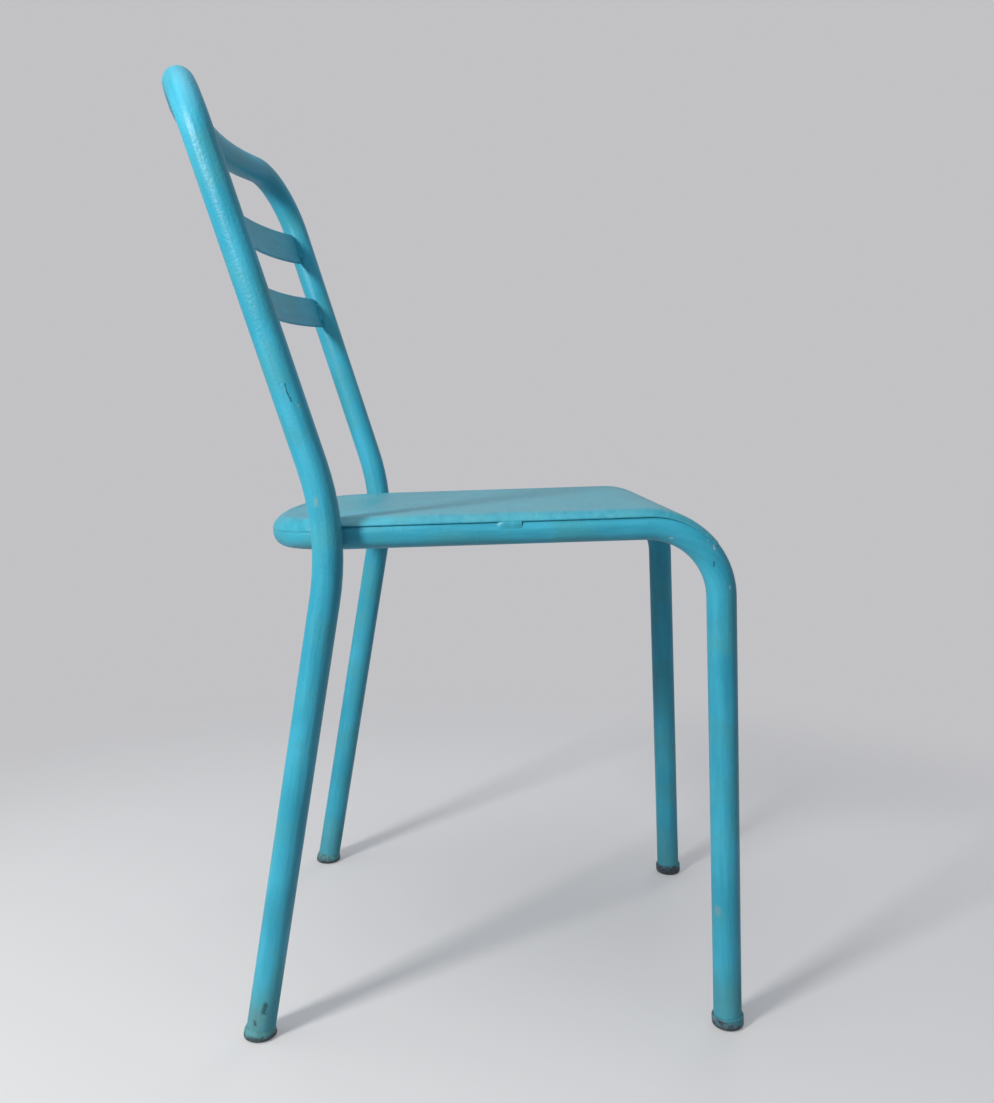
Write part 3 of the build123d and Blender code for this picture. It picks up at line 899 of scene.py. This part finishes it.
print(len(MARKS), "single marks")

# %% [markdown]
# ### Floor grime
#
# Wet floors leave a dull, greyish green film on the lowest few centimetres, ragged at its upper edge.
# A plain fade by height would end in a ruled line, so a noise shifts the height first.

# %% Floor grime group
grime, source, sink = new_group("floor_grime", {"Vector": None, "Reach": 0.05}, ["Film"])
height = add(grime, "SeparateXYZ", {0: source["Vector"]}).outputs["Z"]
uneven = noise(grime, source["Vector"], scale=90.0, detail=4.0, rough=0.65)
ragged = maths(grime, "MULTIPLY", uneven, source["Reach"])
film = ramp(grime, maths(grime, "SUBTRACT", height, ragged), 0.0, source["Reach"], 1.0, 0.0)
feed(grime, sink, {"Film": film})

# %% [markdown]
# ### Bloom and painted sheen
#
# On faces that look up, years of wiping have dulled the gloss and left a greyish bloom in streaks. Its
# paler colour is partly painted sheen: a lighter tone on the tops of the seat and tubes, where light
# falls.
# Most of the grey on the seat is the room in its gloss, so the bloom itself is thin.

# %% Bloom and painted sheen group
inputs = {"Vector": None, "Normal": None, "Stretch": (0.3, 1.0, 1.0)}
bloom_sheen, source, sink = new_group("bloom_and_painted_sheen", inputs, ["Bloom_and_sheen"])
facing = add(bloom_sheen, "SeparateXYZ", {0: source["Normal"]}).outputs["Z"]
wiped = vectors(bloom_sheen, "MULTIPLY", source["Vector"], source["Stretch"])["Vector"]
streaks = noise(bloom_sheen, wiped, scale=34.0, detail=4.0, rough=0.6)
streaks = ramp(bloom_sheen, streaks, 0.28, 0.74, 0.35, 1.0)
# Painted sheen: the paler colour is strongest on faces that look up.
upward = ramp(bloom_sheen, facing, 0.84, 0.99)
feed(bloom_sheen, sink, {"Bloom_and_sheen": maths(bloom_sheen, "MULTIPLY", upward, streaks)})

# %% [markdown]
# ### Enamel
#
# The groups come together in the order in which the chair met them. Tubes and seat could share one
# material, but the seat was brushed across and wiped more, so one function gives each its own values.

# %% Values of the enamel
AGED = (0.06, 0.37, 0.42, 1.0)
AGED_LEVEL = 0.6
FILM = (0.11, 0.33, 0.34, 1.0)
FILM_LEVEL = 0.45
CHIP_RIM = (0.45, 0.55, 0.55, 1.0)
CHIP_RIM_LEVEL = 0.5
BARE_STEEL = (0.16, 0.15, 0.14, 1.0)
BARE_ROUGHNESS = 0.75
TONE_DULLS = 0.2
BLOOM_DULLS = 0.10
FILM_DULLS = 0.25


# %% Enamel
def enamel(name, light, deep, bloom_sheen_colour, bloom_sheen_level, stretch, dullness):
    """Turquoise enamel: brushed tone, ageing, bloom and painted sheen, floor grime, chips and marks, in
    order.
    """
    material, tree, shader = new_material(name)
    place = add(tree, "TexCoord").outputs
    unbent = add(tree, "Attribute", attribute_name="unbent").outputs["Vector"]
    coat = place_group(tree, brushed, {"Vector": unbent, "Stretch": stretch})
    colour = blend(tree, ramp(tree, coat["Tone"], 0.38, 0.62), deep, light)
    aged = ramp(tree, noise(tree, unbent, scale=24.0, detail=4.0, rough=0.6), 0.44, 0.64)
    # Bloom with painted sheen: a paler colour laid on faces that look up, lighter on the tops.
    bloom_and_sheen = place_group(tree, bloom_sheen, {"Vector": place["Object"], "Normal": place["Normal"]})["Bloom_and_sheen"]
    film = place_group(tree, grime, {"Vector": place["Object"]})["Film"]
    flakes = place_group(tree, chips, {"Vector": place["Object"]})
    layers = [
        (aged, AGED_LEVEL, AGED),
        (bloom_and_sheen, bloom_sheen_level, bloom_sheen_colour),
        (film, FILM_LEVEL, FILM),
        (flakes["Rim"], CHIP_RIM_LEVEL, CHIP_RIM),
    ]
    for mask, level, over in layers:
        colour = blend(tree, maths(tree, "MULTIPLY", mask, level), colour, over)
    colour = blend(tree, flakes["Flake"], colour, BARE_STEEL)
    for bared, size, softness, start, end in MARKS:
        values = {"Vector": place["Object"], "Size": size * MM, "Softness": softness}
        values["From"] = np.array(start) * MM
        values["To"] = np.array(end) * MM
        colour = blend(tree, place_group(tree, mark, values)["Mask"], colour, bared)
    gloss = dullness
    for mask, dulls in ((coat["Tone"], TONE_DULLS), (bloom_and_sheen, BLOOM_DULLS), (film, FILM_DULLS)):
        gloss = maths(tree, "MULTIPLY_ADD", mask, dulls, gloss)
    bare = maths(tree, "MULTIPLY", flakes["Flake"], BARE_ROUGHNESS)
    rough = maths(tree, "MAXIMUM", gloss, bare)
    height = maths(tree, "SUBTRACT", coat["Height"], flakes["Flake"])
    normal = emboss(tree, height, strength=0.8, depth=1.2 * MM)
    finish = {"Base Color": colour, "Roughness": rough, "Normal": normal, "Specular IOR Level": 0.42}
    feed(tree, shader.inputs, finish)
    print(name, len(tree.nodes), "nodes")
    return material


# The bloom colours are partly painted sheen, a lighter tone on faces that look up.
tube_enamel = enamel(
    "tube_enamel",
    light=(0.05, 0.44, 0.59, 1.0),
    deep=(0.03, 0.35, 0.48, 1.0),
    bloom_sheen_colour=(0.20, 0.52, 0.60, 1.0),
    bloom_sheen_level=0.30,
    stretch=(1.0, 1.0, 0.08),
    dullness=0.33,
)
seat_enamel = enamel(
    "seat_enamel",
    light=(0.05, 0.40, 0.51, 1.0),
    deep=(0.03, 0.32, 0.42, 1.0),
    bloom_sheen_colour=(0.25, 0.39, 0.43, 1.0),
    bloom_sheen_level=0.36,
    stretch=(0.25, 1.0, 1.0),
    dullness=0.27,
)

# %% [markdown]
# ### Worn glides
#
# The glides are dark plastic. The brush ran over them too: the rear ones are still turquoise down to a
# worn edge. On the front ones the paint has scuffed to grey, under a band of the tube's own paint. So the
# finish is a coat over dark plastic, worn from the floor up along a ragged line.

# %% Worn glides
PLASTIC = (0.022, 0.034, 0.042, 1.0)
SCUFFED_PLASTIC = (0.065, 0.10, 0.12, 1.0)
SCUFFED_COAT = (0.16, 0.24, 0.27, 1.0)
TUBE_PAINT = (0.045, 0.23, 0.28, 1.0)
WORN_LINE_RAGGED = 8.0 * MM
BRUSHED_SLOPE = -0.3
BRUSHED_FADE = 2.0 * MM


def glide_finish(name, node, coat_colour, worn, painted, patchy, brushed_from):
    """Dark plastic under a coat that starts between two heights in mm, and is lost in patches.

    Above brushed_from, a line that rises towards the rear, the tube's own paint runs over the glide.
    """
    material, tree, shader = new_material(name)
    place = add(tree, "TexCoord").outputs["Object"]
    scuffs = noise(tree, place, scale=300.0, detail=4.0, rough=0.65)
    plastic = blend(tree, ramp(tree, scuffs, 0.35, 0.7), PLASTIC, SCUFFED_PLASTIC)
    coat = blend(tree, ramp(tree, scuffs, 0.5, 0.85), coat_colour, SCUFFED_COAT)
    split = add(tree, "SeparateXYZ", {0: place}).outputs
    wander = noise(tree, place, scale=160.0, detail=4.0, rough=0.6)
    ragged = maths(tree, "MULTIPLY_ADD", wander, WORN_LINE_RAGGED, -WORN_LINE_RAGGED / 2)
    uneven = maths(tree, "ADD", split["Z"], ragged)
    kept = ramp(tree, uneven, worn * MM, painted * MM)
    lost = noise(tree, place, scale=190.0, detail=5.0, rough=0.7)
    kept = maths(tree, "MULTIPLY", kept, ramp(tree, lost, 0.45, 0.56, 1.0, patchy))
    colour = blend(tree, kept, plastic, coat)
    middle = float(np.mean(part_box(node), 0)[1])
    rearward = maths(tree, "SUBTRACT", split["Y"], middle)
    line = maths(tree, "MULTIPLY_ADD", rearward, BRUSHED_SLOPE, uneven)
    over = ramp(tree, line, brushed_from * MM, brushed_from * MM + BRUSHED_FADE)
    colour = blend(tree, over, colour, TUBE_PAINT)
    rough = maths(tree, "MULTIPLY_ADD", scuffs, 0.3, 0.4)
    normal = emboss(tree, scuffs, strength=0.3, depth=0.5 * MM)
    feed(tree, shader.inputs, {"Base Color": colour, "Roughness": rough, "Normal": normal})
    print(name, len(tree.nodes), "nodes")
    return material


TEAL_COAT = (0.085, 0.32, 0.335, 1.0)
GREY_COAT = (0.085, 0.19, 0.23, 1.0)
GLIDE_COATS = {
    "rear_right": ("glide_coat_kept", TEAL_COAT, 4.0, 7.5, 0.75, 20.0),
    "rear_left": ("glide_coat_edged", TEAL_COAT, 3.0, 7.0, 0.45, 20.0),
    "front_right": ("glide_coat_scuffed", GREY_COAT, 3.0, 6.0, 0.1, 7.2),
    "front_left": ("glide_coat_lost", GREY_COAT, 7.5, 11.5, 0.1, 12.0),
}
GLIDE_FINISHES = {
    "glide_" + leg: glide_finish(name, "foot_" + leg, *values)
    for leg, (name, *values) in GLIDE_COATS.items()
}

# %% [markdown]
# ### Painting
#
# Each glide has its own wear, the seat its own enamel, and everything else, welds too, the tubes' coat.

# %% Paint every piece
for piece in pieces:
    enamelled = seat_enamel if piece == seat_pan else tube_enamel
    piece.data.materials.append(GLIDE_FINISHES.get(piece.name, enamelled))
    print(piece.name, piece.data.materials[0].name)

# %% [markdown]
# ## Room
#
# ### Floor
#
# The floor is a pale plane that fades out round the chair, so that no horizon shows. A white floor would
# throw light up under the seat, so for bounced light it is darker. To the eye and in gloss, a faint glow
# lifts it, which also keeps its shadows light.

# %% Floor
FLOOR_HALF = 6.0
FLOOR_PALE = (0.53, 0.52, 0.51, 1.0)
FLOOR_BOUNCE = (0.40, 0.40, 0.40, 1.0)
FLOOR_GLOW = (0.98, 0.98, 1.0, 1.0)
FLOOR_GLOW_STRENGTH = 0.2
FADE_FROM = 0.5
FADE_TO = 1.2
floor_mesh = bpy.data.meshes.new("floor")
floor_corners = [(-1, -1), (1, -1), (1, 1), (-1, 1)]
floor_mesh.from_pydata([(x * FLOOR_HALF, y * FLOOR_HALF, 0) for x, y in floor_corners], [], [(0, 1, 2, 3)])
floor = put_in_scene("floor", floor_mesh)
floor_paint, tree, shader = new_material("pale_floor")
rays = add(tree, "LightPath").outputs
seen = maths(tree, "MAXIMUM", rays["Is Camera Ray"], rays["Is Glossy Ray"])
finish = {
    "Base Color": blend(tree, rays["Is Diffuse Ray"], FLOOR_PALE, FLOOR_BOUNCE),
    "Emission Strength": maths(tree, "MULTIPLY", seen, FLOOR_GLOW_STRENGTH),
    "Emission Color": FLOOR_GLOW,
    "Roughness": 0.8,
    "Specular IOR Level": 0.2,
}
feed(tree, shader.inputs, finish)
distance = vectors(tree, "LENGTH", add(tree, "TexCoord").outputs["Object"])["Value"]
fade = ramp(tree, distance, FADE_FROM, FADE_TO)
clear = add(tree, "BsdfTransparent").outputs[0]
mixed = add(tree, "MixShader", {0: fade, 1: shader.outputs[0], 2: clear}).outputs[0]
tree.links.new(mixed, tree.nodes["Material Output"].inputs["Surface"])
floor_mesh.materials.append(floor_paint)
print("floor fades out", FADE_TO, "m from the middle")

# %% [markdown]
# ### Light from all round
#
# The world is dim blue as a light, because a room's shade is cool. In gloss it is a grey room, a little
# brighter on the far side, and the eye sees a plain pale background.

# %% World
ROOM_LIGHT = (0.17, 0.19, 0.235, 1.0)
NEAR_IN_GLOSS = (0.38, 0.38, 0.41, 1.0)
FAR_IN_GLOSS = (0.46, 0.46, 0.48, 1.0)
BACKGROUND = (0.54, 0.54, 0.56, 1.0)
world = bpy.data.worlds.new("pale_room")
bpy.context.scene.world = world
world.use_nodes = True
tree = world.node_tree
rays = add(tree, "LightPath").outputs
direction = add(tree, "TexCoord").outputs["Generated"]
far_side = ramp(tree, add(tree, "SeparateXYZ", {0: direction}).outputs["X"], 0.0, 0.9)
in_gloss = blend(tree, far_side, NEAR_IN_GLOSS, FAR_IN_GLOSS)
room = blend(tree, rays["Is Glossy Ray"], ROOM_LIGHT, in_gloss)
room = blend(tree, rays["Is Camera Ray"], room, BACKGROUND)
tree.links.new(room, tree.nodes["Background"].inputs["Color"])
print(world.name, len(tree.nodes), "nodes")

# %% [markdown]
# ### Lamps
#
# A small key lamp behind the chair, on its near side, draws the shadows. A broad lamp overhead softens
# them, and a fill on the far side opens the shade. One big lamp would lose the upright's shadow on the
# seat. The fill stays out of the gloss, where it would add a line of light.


# %% Lamps
def stand(made, right, back, place):
    """Puts a lamp or camera at a place, with its sideways and backward axes along unit vectors."""
    rows = np.column_stack([right, np.cross(back, right), back, place]).tolist()
    made.matrix_world = Matrix(rows + [[0, 0, 0, 1]])


def lamp(name, place, aim, size, power, shines):
    """Square soft lamp at a place, turned to a point, that shows in gloss or not."""
    light = bpy.data.lights.new(name, "AREA")
    light.size = size
    light.energy = power
    made = put_in_scene(name, light)
    made.visible_glossy = shines
    back = unit(np.array(place) - np.array(aim))
    right = unit(np.cross((0, 0, 1), back))
    stand(made, right, back, place)
    print(name, power, "W")


lamp("key", place=(-1.33, 1.15, 1.25), aim=(0.0, 0.0, 0.4), size=0.32, power=31.0, shines=True)
lamp("overhead", place=(-0.3, 0.5, 2.4), aim=(0.0, 0.0, 0.3), size=2.0, power=19.0, shines=True)
lamp("fill", place=(1.9, -1.0, 1.3), aim=(0.0, 0.0, 0.5), size=1.2, power=8.0, shines=False)

# %% [markdown]
# ### Camera
#
# The camera stands at the sitter's right, as in the photograph. Its place, angles and focal length were
# solved from the edges of the straight tubes, and its picture was cut off centre, so the lens is shifted.

# %% Camera
CAMERA_AT = np.array([-1045.3, -26.0, 525.1]) * MM
YAW, PITCH, TILT = np.radians([-0.17, 10.90, 0.60])
FOCAL_PX = 1062.6
CENTRE_BELOW_PX = 82.95
PHOTO_HEIGHT_PX = 1103
SENSOR_MM = 36.0
forward = np.array([np.cos(PITCH) * np.cos(YAW), np.cos(PITCH) * np.sin(YAW), -np.sin(PITCH)])
level = np.array([np.sin(YAW), -np.cos(YAW), 0.0])
right = np.cos(TILT) * level + np.sin(TILT) * np.cross(level, forward)
lens = bpy.data.cameras.new("camera")
lens.sensor_width = SENSOR_MM
lens.lens = FOCAL_PX * SENSOR_MM / PHOTO_HEIGHT_PX
lens.shift_y = CENTRE_BELOW_PX / PHOTO_HEIGHT_PX
camera = put_in_scene("camera", lens)
stand(camera, right, -forward, CAMERA_AT)
bpy.context.scene.camera = camera
bpy.context.scene.view_settings.view_transform = "Standard"
print("lens", round(lens.lens, 1), "mm")
